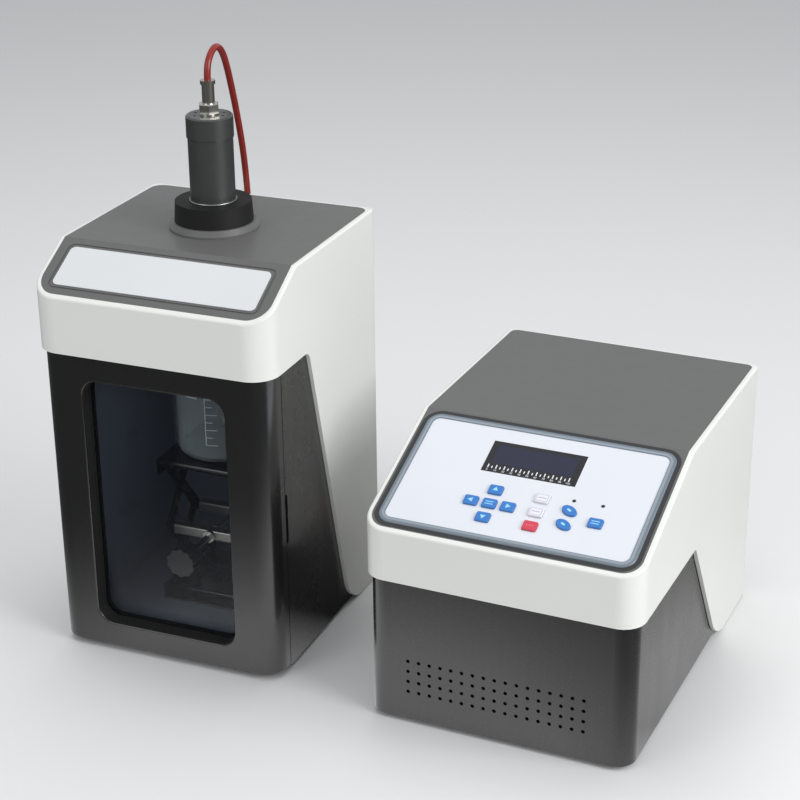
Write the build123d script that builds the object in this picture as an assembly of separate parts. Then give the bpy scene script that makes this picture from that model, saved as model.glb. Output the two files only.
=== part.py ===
from build123d import *
import os
from math import cos, pi, radians, sin, tan

# Probe sonicator: a sound-proof cabinet with the converter in its roof, and a separate generator.
# Millimetres. Modelled with x across, y towards the rear and z up from the bench, the cabinet's
# front at y = 0, then moved so that the origin is under the middle of both units.

# Both housings
hood_wall = 4.0
inlay_thickness = 3.0
inlay_margin = 5.0
inlay_clearance = 0.15
top_edge_round = 2.5
skin_clearance = 0.3
hood_rear_return = 24.0
foot_height = 5.0
foot_radius = 12.0
foot_edge = 1.0
foot_front_y = 30.0
foot_inset = 26.0
sill_foot_inset = 40.0

# Cabinet housing
cabinet_width = 265.0
cabinet_depth = 270.7
cabinet_height = 436.5
cabinet_break_y = 71.75
cabinet_rake = 28.8
cabinet_apron_z = 337.7
cabinet_front_round = 28.0
cabinet_rear_round = 8.0
cabinet_rear_band = 104.0
cabinet_notch_y = 95.0
cabinet_notch_slope = 75.1
cabinet_notch_round = 12.0
cabinet_heel_round = 45.0
hood_toe_z = 1.0
cabinet_inlay_front_round = 22.0
cabinet_inlay_rear_round = 13.0

# Nameplate on the incline
nameplate_width = 225.2
nameplate_height = 51.5
nameplate_from_break = 38.2
nameplate_round = 6.0
nameplate_thickness = 0.8
nameplate_groove = 2.2
nameplate_groove_gap = 2.4

# Cabinet body and chamber
body_inset = 4.3
shell_floor_z = 5.0
shell_wall = 2.5
shell_front_y = 38.0
shell_top_z = 335.0
liner_thickness = 6.0
sill_front_y = 10.0
sill_margin = 26.0
horn_hole_radius = 20.0
notch_low_z = 147.0
notch_high_z = 202.0
notch_depth = 4.5
notch_round = 2.0

# Door
door_front_y = 4.5
door_rear_y = 36.8
door_low_z = 7.7
door_high_z = 336.4
door_hinge_round = 6.0
window_half_width = 80.5
window_low_z = 33.5
window_high_z = 310.3
window_round = 18.0
window_edge_round = 2.0
pane_front_y = 20.5
pane_thickness = 5.0
pane_lap = 7.0
gasket_lip = 5.5
gasket_front = 3.0
gasket_wall = 2.5
hinge_pin_radius = 2.5
hinge_clearance = 0.06
hinge_pin_reach = 14.0
hinge_plate = 3.0
sill_thickness = 2.0
washer_gap = 0.1
bracket_side = 5.0
bracket_width = 16.0
bracket_reach = 24.0

# Converter and horn, on one vertical axis
converter_y = 156.7
boss_radius = 47.0
boss_top_radius = 43.5
boss_height = 7.5
boss_step = 2.0
collar_radius = 41.0
collar_top_radius = 39.7
collar_height = 21.0
collar_spigot_radius = 30.0
collar_spigot_depth = 19.0
fit_clearance = 0.05
housing_radius = 23.3
housing_wall = 1.8
housing_height = 66.0
housing_spigot = 16.0
housing_lip_radius = 24.2
housing_lip = 1.5
housing_seat_lap = 2.5
collar_seat_lap = 3.0
flange_lip = 2.0
cap_radius = 24.3
cap_height = 23.7
cap_wall = 3.7
cap_groove = 1.0
cap_hole_radius = 1.6
cap_hole_circle = 15.5
cap_hole_count = 8
front_mass_radius = 19.0
front_mass_height = 66.0
front_mass_reach = 27.0
flange_thickness = 5.0
flange_radius = 21.4
front_mass_low_radius = 17.0
ring_radius = 19.0
ring_bore = 6.5
ring_height = 5.0
electrode_height = 0.5
ring_count = 4
back_mass_radius = 18.5
back_mass_height = 24.0
bolt_radius = 5.0
bolt_head_radius = 8.0
bolt_head_height = 8.0
bolt_thread_depth = 20.0
bolt_socket_radius = 4.6
bolt_socket_depth = 4.5
horn_length = 125.0
horn_radius = 17.0
horn_step_radius = 6.5
horn_step_round = 8.0
tip_length = 85.0
tip_root_radius = 6.5
tip_radius = 3.0
tip_root_length = 14.0
tip_taper_length = 22.0

# Cable connector, the same at both ends
socket_flange_radius = 9.0
socket_flange = 1.5
socket_barrel_radius = 7.2
socket_barrel_height = 8.3
socket_cavity_radius = 5.8
socket_cavity_depth = 6.0
socket_tail_radius = 7.0
socket_tail = 8.5
socket_hole_clearance = 0.2
plug_nose_radius = 5.7
plug_shell_radius = 6.4
plug_collar_radius = 6.9
plug_collar = 2.0
plug_length = 35.3
plug_clamp_radius = 7.7
plug_clamp = 4.0
nut_across_flats = 19.0
nut_length = 9.9
nut_lip_bore = 6.5
nut_clearance = 0.1
nut_chamfer = 0.8
plug_play = 0.3
cable_diameter = 7.0

# Lab jack
jack_y = 164.3
jack_half_width = 57.0
jack_depth = 120.0
jack_sheet = 2.5
jack_flange = 18.0
jack_play = 0.3
arm_length = 95.0
arm_angle = 51.6
arm_width = 12.0
arm_thickness = 2.5
arm_low_angle = 11.6
arm_high_angle = 54.6
pivot_height = 10.0
pivot_margin = 13.0
rod_radius = 3.0
pivot_clearance = 0.06
slot_clearance = 0.15
cross_bar = 12.0
cross_bar_gap = 4.9
stub_depth = 7.0
screw_radius = 4.0
screw_clearance = 0.08
screw_tail = 10.0
screw_collar_radius = 6.5
screw_collar = 4.0
collar_play = 0.1
knob_radius = 16.5
knob_length = 22.0
knob_front_y = 42.0
knob_flutes = 10
knob_flute_radius = 4.0
knob_skirt_radius = 9.0

# Beaker
beaker_x = -5.0
beaker_y = 163.0
beaker_radius = 50.0
beaker_height = 128.0
beaker_wall = 2.0
beaker_corner = 9.0
beaker_rim = 2.4
spout_radius = 9.0
spout_reach = 6.0

# Generator housing, and where it stands
generator_x = 374.39
generator_front_y = -21.87
generator_turn = -2.26
generator_width = 284.4
generator_depth = 398.9
generator_height = 276.2
generator_break_y = 157.4
generator_rake = 22.02
generator_apron_z = 158.5
generator_front_round = 24.0
generator_rear_round = 8.0
generator_rear_band = 36.0
generator_notch_y = 183.0
generator_notch_slope = 57.2
generator_notch_round = 6.0
generator_heel_round = 62.0
generator_inlay_front_round = 18.0
generator_inlay_rear_round = 8.0

# Control panel, measured down the incline from the break
panel_width = 248.0
panel_height = 138.5
panel_from_break = 82.8
panel_round = 8.0
panel_thickness = 0.8
border_width = 6.5
border_height = 1.4
display_width = 97.6
display_height = 41.4
display_x = -3.8
display_from_break = 51.5
display_frame = 4.0
key_column_pitch = 19.0
key_row_pitch = 18.1
arrow_x = -27.9
arrow_from_break = 112.9
function_x = 20.2
oval_x = 50.4
oval_from_break = 103.7
right_key_x = 79.4
key_width = 14.2
key_height = 11.4
key_round = 1.6
oval_width = 16.8
oval_height = 10.8
oval_turn = -28.0
key_rise = 2.2
key_clearance = 0.25
key_flange = 1.0
key_flange_lap = 1.1
key_flange_gap = 0.2
key_stem_radius = 2.5
board_depth = 10.0
board_thickness = 1.6
board_margin = 8.0
switch_size = 6.0
switch_gap = 0.8
led_radius = 1.9
led_rise = 0.9
led_from_break = 89.6

# Generator body
chassis_wall = 2.0
chassis_low_z = 5.5
chassis_top_z = 178.0
chassis_step = 4.6
vent_columns = 17
vent_rows = 4
vent_pitch = 11.45
vent_radius = 1.95
vent_x = -2.0
vent_low_z = 36.5
fan_x = -72.0
fan_z = 120.0
fan_size = 80.0
fan_depth = 20.0
fan_bore = 38.0
fan_hub_radius = 15.0
fan_blade_radius = 36.5
fan_blades = 7
fan_gap = 2.0
fan_shaft_radius = 2.0
grille_rings = 4
grille_hub = 8.0
grille_rib = 5.0
grille_bar = 2.4
inlet_x = 82.0
inlet_z = 62.0
inlet_width = 30.0
inlet_height = 66.0
inlet_flange = 3.0
inlet_depth = 26.0
inlet_body_step = 1.7
cavity_depth = 17.0
cavity_width = 24.5
cavity_height = 17.0
cavity_z = -18.0
fuse_z = 2.0
pin_width = 2.0
pin_height = 4.0
pin_length = 13.0
pin_pitch = 7.0
pin_drop = 2.0
drawer_width = 22.0
drawer_height = 9.0
drawer_rise = 1.2
rocker_z = 20.0
rocker_width = 19.0
rocker_height = 14.0
rocker_clearance = 0.3
rocker_tilt = 11.0
output_x = 10.0
output_z = 70.0
transformer_x = -55.0
transformer_y = 259.0
transformer_radius = 48.0
transformer_bore = 15.0
transformer_height = 44.0

# Cable route, in the same frame as the cabinet, from the converter's plug to the generator's rear
cable_points = [
    (0.0, 156.8, 602.0),
    (-0.3, 163.5, 612.0),
    (-1.2, 175.0, 618.5),
    (-2.8, 189.0, 617.0),
    (-5.0, 202.5, 606.5),
    (-7.7, 215.0, 590.0),
    (-10.6, 228.0, 568.0),
    (-13.6, 241.0, 544.0),
    (-16.5, 254.5, 515.0),
    (-19.5, 267.5, 483.0),
    (-23.5, 280.5, 443.0),
    (-27.5, 291.0, 396.0),
    (-30.0, 299.0, 339.0),
    (-29.0, 303.0, 275.0),
    (-23.0, 304.0, 207.0),
    (-12.0, 302.5, 143.0),
    (3.0, 301.0, 86.0),
    (25.0, 302.0, 41.0),
    (62.0, 304.0, 11.0),
    (112.0, 309.0, 3.7),
    (164.0, 329.0, 3.7),
    (212.0, 364.0, 3.7),
    (256.0, 408.0, 3.7),
    (304.0, 445.0, 3.7),
    (352.0, 468.0, 6.0),
    (391.0, 473.0, 24.0),
    (409.0, 455.0, 50.0),
    (404.5, 430.0, 68.0),
]


class Housing:
    # the sizes of one unit's moulded hood
    def __init__(self, width, depth, height, break_y, rake, apron_z, front_round, rear_round,
                 rear_band):
        self.width, self.depth, self.height = width, depth, height
        self.break_y, self.rake, self.apron_z = break_y, radians(rake), apron_z
        self.front_round, self.rear_round = front_round, rear_round
        self.rear_band = rear_band

    def roof_z(self, y, depth):
        # height of the incline, pulled in square to itself
        return self.height + (y - self.break_y) * tan(self.rake) - depth / cos(self.rake)

    def break_at(self, depth):
        return self.break_y + depth * tan(self.rake / 2)

    def incline(self):
        # plane on the incline: origin on the break, local y up the slope, z out of the surface
        out = (0, -sin(self.rake), cos(self.rake))
        return Plane(origin=(0, self.break_y, self.height), x_dir=(1, 0, 0), z_dir=out)


cabinet = Housing(cabinet_width, cabinet_depth, cabinet_height, cabinet_break_y, cabinet_rake,
                  cabinet_apron_z, cabinet_front_round, cabinet_rear_round, cabinet_rear_band)
generator = Housing(generator_width, generator_depth, generator_height, generator_break_y,
                    generator_rake, generator_apron_z, generator_front_round,
                    generator_rear_round, generator_rear_band)


def cylinder(radius, height, z=0.0):
    return Pos(0, 0, z) * Cylinder(radius, height, align=(Align.CENTER, Align.CENTER, Align.MIN))


def block(x, y, z, width, depth, height):
    # a box by its middle in x and y, and its underside
    return Pos(x, y, z) * Box(width, depth, height, align=(Align.CENTER, Align.CENTER, Align.MIN))


def span(low, high):
    # a box between two corners
    middle = [(a + b) / 2 for a, b in zip(low, high)]
    return Pos(*middle) * Box(*[b - a for a, b in zip(low, high)])


def rounded_bar(width, height, radius, thickness):
    return extrude(RectangleRounded(width, height, radius), thickness)


def revolved(points):
    # a solid of revolution about z from (radius, z) corners
    return revolve(Plane.XZ * Polygon(*points, align=None), Axis.Z)


def plan_prism(unit, inset, front_round, rear_round, height):
    outline = Pos(0, unit.depth / 2) * Rectangle(unit.width - 2 * inset, unit.depth - 2 * inset)
    outline = fillet(outline.vertices().group_by(Axis.Y)[0], front_round)
    outline = fillet(outline.vertices().group_by(Axis.Y)[-1], rear_round)
    return extrude(outline, height)


def side_prism(unit, points, rounds=()):
    # a side outline of (y, z) corners drawn across the whole width
    outline = Plane.YZ * Polygon(*points, align=None)
    for corner, radius in rounds:
        near = outline.vertices().sort_by_distance((0, corner[0], corner[1]))[0]
        outline = fillet(near, radius)
    return extrude(outline, unit.width, both=True)


def roof_prism(unit, depth, front_y, rear_y, low_z):
    points = [(front_y, low_z), (front_y, unit.roof_z(front_y, depth)),
              (unit.break_at(depth), unit.height - depth), (rear_y, unit.height - depth),
              (rear_y, low_z)]
    return side_prism(unit, points)


def moulded_hood(unit, notch_y, notch_slope, apex_round, heel_round, inlay_rounds):
    # one thin moulding: raked roof with a sunk field, a front apron and two notched rear legs
    outer = plan_prism(unit, 0, unit.front_round, unit.rear_round, unit.height)
    outer &= roof_prism(unit, 0, 0, unit.depth, 0)
    top = [edge for edge in outer.edges()
           if edge.center().Z > unit.roof_z(0, 0) - 1 and abs(edge.center().X) > 1
           or edge.center().Z > unit.height - 1 and edge.center().Y > unit.depth - 1]
    rim = [edge for edge in top if edge.geom_type != GeomType.LINE or edge.length > 20]
    outer = fillet(rim, top_edge_round)
    skin = inlay_thickness + hood_wall
    inner = plan_prism(unit, hood_wall, unit.front_round - hood_wall,
                       unit.rear_round - hood_wall, unit.height)
    inner &= roof_prism(unit, skin, hood_wall, unit.depth - hood_wall, -1)
    field = inlay_field(unit, inlay_margin, inlay_rounds, inlay_thickness)
    slope = tan(radians(notch_slope))
    heel_y = notch_y + (unit.apron_z - hood_toe_z) / slope
    notch = side_prism(unit, [(-10, -10), (-10, unit.apron_z), (notch_y, unit.apron_z),
                              (heel_y, hood_toe_z), (unit.depth + 10, hood_toe_z),
                              (unit.depth + 10, -10)],
                       [((notch_y, unit.apron_z), apex_round),
                        ((heel_y, hood_toe_z), heel_round)])
    half = unit.width / 2 - hood_rear_return
    back = span((-half, unit.depth - 2 * hood_wall, -10),
                (half, unit.depth + 10, unit.height - unit.rear_band))
    return outer - inner - field - notch - back


def inlay_field(unit, margin, rounds, depth):
    # the sheet that follows the roof, its outline drawn in plan
    plan = plan_prism(unit, margin, rounds[0], rounds[1], unit.height + 10)
    above = roof_prism(unit, 0, -1, unit.depth + 1, 0)
    below = roof_prism(unit, depth, -2, unit.depth + 2, -1)
    return plan & (above - below)


def inlay_panel(unit, rounds):
    return inlay_field(unit, inlay_margin + inlay_clearance, rounds, inlay_thickness)


def feet(places, height):
    stem = chamfer(cylinder(foot_radius, height).edges().group_by(Axis.Z)[0], foot_edge)
    return [Pos(x, y) * stem for x, y in places]


def hood_of_cabinet():
    hood = moulded_hood(cabinet, cabinet_notch_y, cabinet_notch_slope, cabinet_notch_round,
                        cabinet_heel_round, (cabinet_inlay_front_round, cabinet_inlay_rear_round))
    roof_under = cabinet.height - inlay_thickness - hood_wall
    for x in (-90, 90):
        for y in (115, 235):
            hood += Pos(x, y, shell_top_z) * cylinder(7, roof_under - shell_top_z + 1)
    bore = cylinder(collar_spigot_radius + skin_clearance, cabinet.height)
    return hood - Pos(0, converter_y, 0) * bore


def top_panel_of_cabinet():
    panel = inlay_panel(cabinet, (cabinet_inlay_front_round, cabinet_inlay_rear_round))
    boss = revolved([(0, 0), (boss_radius, 0), (boss_radius, boss_step),
                     (boss_top_radius, boss_height), (0, boss_height)])
    panel += Pos(0, converter_y, cabinet.height) * boss
    bore = cylinder(collar_spigot_radius + skin_clearance, cabinet.height + 20)
    panel -= Pos(0, converter_y, 0) * bore
    outer_w = nameplate_width + 2 * (nameplate_groove_gap + nameplate_groove)
    outer_h = nameplate_height + 2 * (nameplate_groove_gap + nameplate_groove)
    groove = rounded_bar(outer_w, outer_h, nameplate_round + nameplate_groove_gap, 2)
    groove -= rounded_bar(outer_w - 2 * nameplate_groove, outer_h - 2 * nameplate_groove,
                          nameplate_round, 4)
    return panel - cabinet.incline() * Pos(0, -nameplate_from_break, -0.8) * groove


def nameplate():
    plate = rounded_bar(nameplate_width, nameplate_height, nameplate_round, nameplate_thickness)
    return cabinet.incline() * Pos(0, -nameplate_from_break) * plate


def cabinet_box():
    # outline of the cabinet's fixed body: half width, rear and the inside of its walls
    half = cabinet.width / 2 - body_inset
    rear = cabinet.depth - hood_wall - skin_clearance
    return half, rear


def shell_of_cabinet():
    half, rear = cabinet_box()
    shell = span((-half, shell_front_y, shell_floor_z), (half, rear, shell_top_z))
    rear_edges = shell.edges().filter_by(Axis.Z).group_by(Axis.Y)[-1]
    shell = fillet(rear_edges, cabinet.rear_round - hood_wall)
    shell -= span((-half + shell_wall, shell_front_y - 1, shell_floor_z + shell_wall),
                  (half - shell_wall, rear - shell_wall, shell_top_z - shell_wall))
    sill = span((-half + sill_margin, sill_front_y, shell_floor_z),
                (half - sill_margin, shell_front_y + 1, shell_floor_z + sill_thickness))
    ear = span((-half + 2, sill_front_y + 10, shell_floor_z),
               (-half + sill_margin + 1, shell_front_y + 1, shell_floor_z + sill_thickness))
    shell += sill + ear + lower_hinge_pin()
    shell -= Pos(0, converter_y, shell_top_z - 10) * cylinder(horn_hole_radius, 20)
    grip = span((half - shell_wall - 1, shell_front_y - 1, notch_low_z),
                (half + 1, shell_front_y + notch_depth, notch_high_z))
    grip = chamfer(grip.edges().filter_by(Axis.X).group_by(Axis.Y)[-1], notch_round)
    return shell - grip


def chamber_liner():
    half, rear = cabinet_box()
    half -= shell_wall
    rear -= shell_wall
    low = shell_floor_z + shell_wall
    high = shell_top_z - shell_wall
    front = shell_front_y + notch_depth + 2
    liner = span((-half, front, low), (half, rear, high))
    liner -= span((-half + liner_thickness, front - 1, low + liner_thickness),
                  (half - liner_thickness, rear - liner_thickness, high - liner_thickness))
    return liner - Pos(0, converter_y, high - 20) * cylinder(horn_hole_radius, 30)


def door_axis():
    half = cabinet.width / 2 - body_inset
    return -half + door_hinge_round, door_rear_y - door_hinge_round


def door_frame():
    half = cabinet.width / 2 - body_inset
    outline = Pos(0, (door_front_y + door_rear_y) / 2) * Rectangle(2 * half,
                                                                 door_rear_y - door_front_y)
    front = outline.vertices().group_by(Axis.Y)[0]
    outline = fillet(front, cabinet.front_round - body_inset)
    rear_left = outline.vertices().group_by(Axis.Y)[-1].sort_by(Axis.X)[0]
    outline = fillet(rear_left, door_hinge_round)
    door = Pos(0, 0, door_low_z) * extrude(outline, door_high_z - door_low_z)
    door -= window_prism(0, door_front_y - 1, pane_front_y + 1)
    door -= window_prism(pane_lap, pane_front_y - gasket_front, door_rear_y + 1)
    hole = cylinder(hinge_pin_radius + hinge_clearance, hinge_pin_reach)
    x, y = door_axis()
    door -= Pos(x, y, door_low_z - 1) * hole
    door -= Pos(x, y, door_high_z - hinge_pin_reach + 1) * hole
    rim = [edge for edge in door.edges().filter_by_position(Axis.Y, door_front_y - 0.01,
                                                            door_front_y + 0.01)
           if abs(edge.center().X) < window_half_width + 1
           and window_low_z - 1 < edge.center().Z < window_high_z + 1]
    return fillet(rim, window_edge_round)


def window_prism(grow, front_y, rear_y):
    # the window's rounded outline, grown on every side, between two depths
    width = 2 * (window_half_width + grow)
    height = window_high_z - window_low_z + 2 * grow
    middle = (window_low_z + window_high_z) / 2
    outline = Plane.XZ * Pos(0, middle) * RectangleRounded(width, height, window_round + grow)
    return Pos(0, rear_y, 0) * extrude(outline, rear_y - front_y)


def door_window():
    return window_prism(pane_lap - gasket_wall, pane_front_y, pane_front_y + pane_thickness)


def window_gasket():
    rear = pane_front_y + pane_thickness + gasket_front
    gasket = window_prism(pane_lap, pane_front_y - gasket_front, rear)
    gasket -= window_prism(pane_lap - gasket_wall, pane_front_y,
                           pane_front_y + pane_thickness)
    return gasket - window_prism(pane_lap - gasket_wall - gasket_lip,
                                 pane_front_y - gasket_front - 1, rear + 1)


def lower_hinge_pin():
    # stands on the sill, its washer carries the door
    x, y = door_axis()
    sill_top = shell_floor_z + sill_thickness
    washer = cylinder(2 * hinge_pin_radius, door_low_z - shell_floor_z - washer_gap)
    pin = cylinder(hinge_pin_radius, sill_top - shell_floor_z + hinge_pin_reach - 3)
    return Pos(x, y, shell_floor_z) * (washer + pin)


def hinge_bracket():
    x, y = door_axis()
    pin_low = door_high_z - hinge_pin_reach + 3
    plate = span((x - bracket_side, y - bracket_side, shell_top_z + hinge_plate),
                 (x + bracket_width, shell_front_y + bracket_reach, shell_top_z + 2 * hinge_plate))
    foot = span((x - bracket_side, shell_front_y + 1, shell_top_z),
                (x + bracket_width, shell_front_y + bracket_reach, shell_top_z + hinge_plate))
    pin = cylinder(hinge_pin_radius, shell_top_z + hinge_plate - pin_low)
    return plate + foot + Pos(x, y, pin_low) * pin


def on_axis(solid, z=0.0):
    # puts a solid on the converter's axis
    return Pos(0, converter_y, z) * solid


def collar_low_z():
    return cabinet.height + boss_height


def converter_collar():
    top = collar_low_z() + collar_height
    bore = housing_radius + fit_clearance
    ledge = top - housing_spigot
    throat = front_mass_low_radius + collar_seat_lap
    low = collar_low_z() - collar_spigot_depth
    points = [(throat, low), (collar_spigot_radius, low), (collar_spigot_radius, collar_low_z()),
              (collar_radius, collar_low_z()), (collar_top_radius, top), (bore, top),
              (bore, ledge), (throat, ledge)]
    return on_axis(revolved(points))


def housing_low_z():
    return collar_low_z() + collar_height - housing_spigot


def converter_housing():
    low = housing_low_z()
    lip = collar_low_z() + collar_height
    top = lip + housing_height
    inner = housing_radius - housing_wall
    seat = front_mass_low_radius + housing_seat_lap
    points = [(seat, low), (housing_radius, low), (housing_radius, lip),
              (housing_lip_radius, lip), (housing_lip_radius, lip + housing_lip),
              (housing_radius, lip + housing_lip), (housing_radius, top), (inner, top),
              (inner, low + flange_lip), (seat, low + flange_lip)]
    return on_axis(revolved(points))


def cap_low_z():
    return collar_low_z() + collar_height + housing_height


def converter_cap():
    low = cap_low_z()
    inner = housing_radius - housing_wall - fit_clearance
    top = low + cap_height
    points = [(inner - 2, low - 7), (inner, low - 7), (inner, low),
              (housing_radius - cap_groove, low), (housing_radius - cap_groove, low + cap_groove),
              (cap_radius, low + cap_groove), (cap_radius, top - 1.5), (cap_radius - 1.5, top),
              (0, top), (0, top - cap_wall), (inner - 2, top - cap_wall)]
    cap = revolved(points)
    cap -= cylinder(socket_tail_radius + socket_hole_clearance, 20, top - 10)
    hole = cylinder(cap_hole_radius, 20, top - 10)
    for place in PolarLocations(cap_hole_circle, cap_hole_count):
        cap -= place * hole
    return on_axis(cap)


def front_mass_low_z():
    # the flange stands on the housing's inner lip
    return stack_low_z() - front_mass_height


def stack_low_z():
    flange_low = housing_low_z() + flange_lip
    return flange_low + front_mass_height - front_mass_reach


def front_mass():
    low = front_mass_low_z()
    flange = housing_low_z() + flange_lip
    top = stack_low_z()
    thread = bolt_radius + fit_clearance
    points = [(0, low), (front_mass_low_radius, low), (front_mass_low_radius, flange),
              (flange_radius, flange), (flange_radius, flange + flange_thickness),
              (front_mass_radius, flange + flange_thickness), (front_mass_radius, top),
              (thread, top), (thread, top - bolt_thread_depth - 1), (0, top - bolt_thread_depth - 1)]
    return on_axis(revolved(points))


def stack_height():
    return ring_count * (ring_height + electrode_height)


def piezo_stack():
    solids = []
    z = stack_low_z()
    ring = cylinder(ring_radius, ring_height) - cylinder(ring_bore, ring_height)
    sheet = cylinder(ring_radius + 0.5, electrode_height) - cylinder(ring_bore, electrode_height)
    sheet += block(ring_radius + 0.6, 0, 0, 2.4, 5, electrode_height)
    for number in range(ring_count):
        solids.append(on_axis(ring, z))
        turned = Rot(0, 0, 90 * (number % 2)) * sheet
        solids.append(on_axis(turned, z + ring_height))
        z += ring_height + electrode_height
    return solids


def back_mass():
    low = stack_low_z() + stack_height()
    mass = cylinder(back_mass_radius, back_mass_height)
    mass -= cylinder(bolt_radius + fit_clearance, back_mass_height)
    mass = chamfer(mass.edges().group_by(Axis.Z)[-1].sort_by(SortBy.LENGTH)[-1], 1.5)
    return on_axis(mass, low)


def preload_bolt():
    head_low = stack_low_z() + stack_height() + back_mass_height
    shank_low = stack_low_z() - bolt_thread_depth
    bolt = cylinder(bolt_radius, head_low - shank_low, shank_low)
    head = cylinder(bolt_head_radius, bolt_head_height, head_low)
    socket = extrude(RegularPolygon(bolt_socket_radius, 6), bolt_socket_depth + 1)
    return on_axis(bolt + head - Pos(0, 0, head_low + bolt_head_height - bolt_socket_depth) * socket)


def horn():
    top = front_mass_low_z()
    low = top - horn_length
    step = top - horn_length / 2
    solid = cylinder(horn_radius, top - step, step) + cylinder(horn_step_radius, step - low, low)
    waist = [edge for edge in solid.edges() if abs(edge.center().Z - step) < 0.01
             and abs(edge.radius - horn_step_radius) < 0.01]
    solid = fillet(waist, horn_step_round)
    flats = span((horn_radius - 2, -20, top - 22), (horn_radius + 5, 20, top - 8))
    return on_axis(solid - flats - mirror(flats, Plane.YZ))


def horn_tip_low_z():
    return front_mass_low_z() - horn_length - tip_length


def horn_tip():
    top = front_mass_low_z() - horn_length
    root = top - tip_root_length
    taper = root - tip_taper_length
    points = [(0, top), (tip_root_radius, top), (tip_root_radius, root), (tip_radius, taper),
              (tip_radius, horn_tip_low_z()), (0, horn_tip_low_z())]
    return on_axis(revolved(points))


def socket():
    body = cylinder(socket_flange_radius, socket_flange)
    body += cylinder(socket_barrel_radius, socket_barrel_height)
    body += cylinder(socket_tail_radius, socket_tail, -socket_tail)
    cavity = cylinder(socket_cavity_radius, socket_cavity_depth + 1,
                      socket_barrel_height - socket_cavity_depth)
    return body - cavity


def plug():
    low = socket_barrel_height - socket_cavity_depth + plug_play
    seat = socket_barrel_height + 0.1
    body = cylinder(plug_nose_radius, seat - low, low)
    body += cylinder(plug_collar_radius, plug_collar, seat)
    body += cylinder(plug_shell_radius, plug_length - seat, seat)
    return body + cylinder(plug_clamp_radius, plug_clamp, plug_length - plug_clamp)


def plug_nut():
    low = socket_flange + 0.2
    seat = socket_barrel_height + 0.1 + plug_collar + nut_clearance
    outline = extrude(RegularPolygon(nut_across_flats / 2, 6, major_radius=False), nut_length)
    nut = Pos(0, 0, low) * chamfer(outline.edges().group_by(Axis.Z)[-1], nut_chamfer)
    nut -= cylinder(socket_barrel_radius + nut_clearance, seat - low, low)
    return nut - cylinder(nut_lip_bore, nut_length + 2, low)


def jack_floor_z():
    return shell_floor_z + shell_wall + liner_thickness


def jack_points():
    # the six pivots at rest, as (y, z)
    front = jack_y - jack_depth / 2 + pivot_margin
    low = jack_floor_z() + pivot_height
    reach = arm_length * cos(radians(arm_angle))
    rise = arm_length * sin(radians(arm_angle))
    return {"base_front": (front, low), "base_rear": (front + reach, low),
            "mid_front": (front, low + rise), "mid_rear": (front + reach, low + rise),
            "top_front": (front, low + 2 * rise), "top_rear": (front + reach, low + 2 * rise)}


def jack_tray():
    # folded sheet with side flanges, bolt holes at the front and slots behind, underside at z = 0
    half = jack_half_width
    tray = span((-half, -jack_depth / 2, 0), (half, jack_depth / 2, jack_flange))
    tray -= span((-half + jack_sheet, -jack_depth / 2 - 1, jack_sheet),
                 (half - jack_sheet, jack_depth / 2 + 1, jack_flange + 1))
    front = -jack_depth / 2 + pivot_margin
    hole = Rot(0, 90, 0) * Cylinder(rod_radius + pivot_clearance, 4 * half)
    tray -= Pos(0, front, pivot_height) * hole
    slot = rod_radius + slot_clearance
    near = front + arm_length * cos(radians(arm_high_angle)) - 1.5
    far = front + arm_length * cos(radians(arm_low_angle)) + 1.5
    tray -= span((-2 * half, near, pivot_height - slot), (2 * half, far, pivot_height + slot))
    for y in (near, far):
        tray -= Pos(0, y, pivot_height) * Rot(0, 90, 0) * Cylinder(slot, 4 * half)
    return tray


def jack_base():
    return Pos(0, jack_y, jack_floor_z()) * jack_tray()


def platform_top_z():
    return jack_points()["top_front"][1] + pivot_height


def jack_platform():
    return Pos(0, jack_y, platform_top_z()) * mirror(jack_tray(), Plane.XY)


def rod(start, end, y, z, radius):
    # a round rod along x
    return Pos((start + end) / 2, y, z) * Rot(0, 90, 0) * Cylinder(radius, end - start)


def arm_bar(low, high, inner_x):
    # one flat bar between two pivots, its inner face at inner_x
    middle = Vector(0, (low[0] + high[0]) / 2, (low[1] + high[1]) / 2)
    way = Vector(0, high[0] - low[0], high[1] - low[1])
    face = Plane(origin=middle, x_dir=way, z_dir=(1, 0, 0))
    bar = extrude(face * SlotCenterToCenter(arm_length, arm_width), arm_thickness)
    return Pos(inner_x, 0, 0) * bar


def bar_layers():
    # inner faces of the outer and the inner layer of bars
    outer = jack_half_width - jack_sheet - jack_play - arm_thickness
    return outer, outer - jack_play - arm_thickness


def both_sides(solid):
    return solid + mirror(solid, Plane.YZ)


def bore_cut(solid, point, inner_x):
    y, z = point
    cut = rod(inner_x - 0.1, inner_x + arm_thickness + 0.1, y, z, rod_radius + pivot_clearance)
    return solid - cut - mirror(cut, Plane.YZ)


def midpoint(a, b):
    return ((a[0] + b[0]) / 2, (a[1] + b[1]) / 2)


def arm_pair(low, high, layer, rod_at, stubs, bores):
    # two bars joined by one full rod, with stub pins at some pivots and bearing holes at others
    outer, inner = bar_layers()
    face = outer if layer == "outer" else inner
    pair = both_sides(arm_bar(low, high, face))
    pair += rod(-jack_half_width, jack_half_width, rod_at[0], rod_at[1], rod_radius)
    for point, start, end in stubs:
        pair += both_sides(rod(start, end, point[0], point[1], rod_radius))
    for point in bores:
        pair = bore_cut(pair, point, face)
    return pair


def cross_bar_half():
    return bar_layers()[1] - cross_bar_gap


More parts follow.
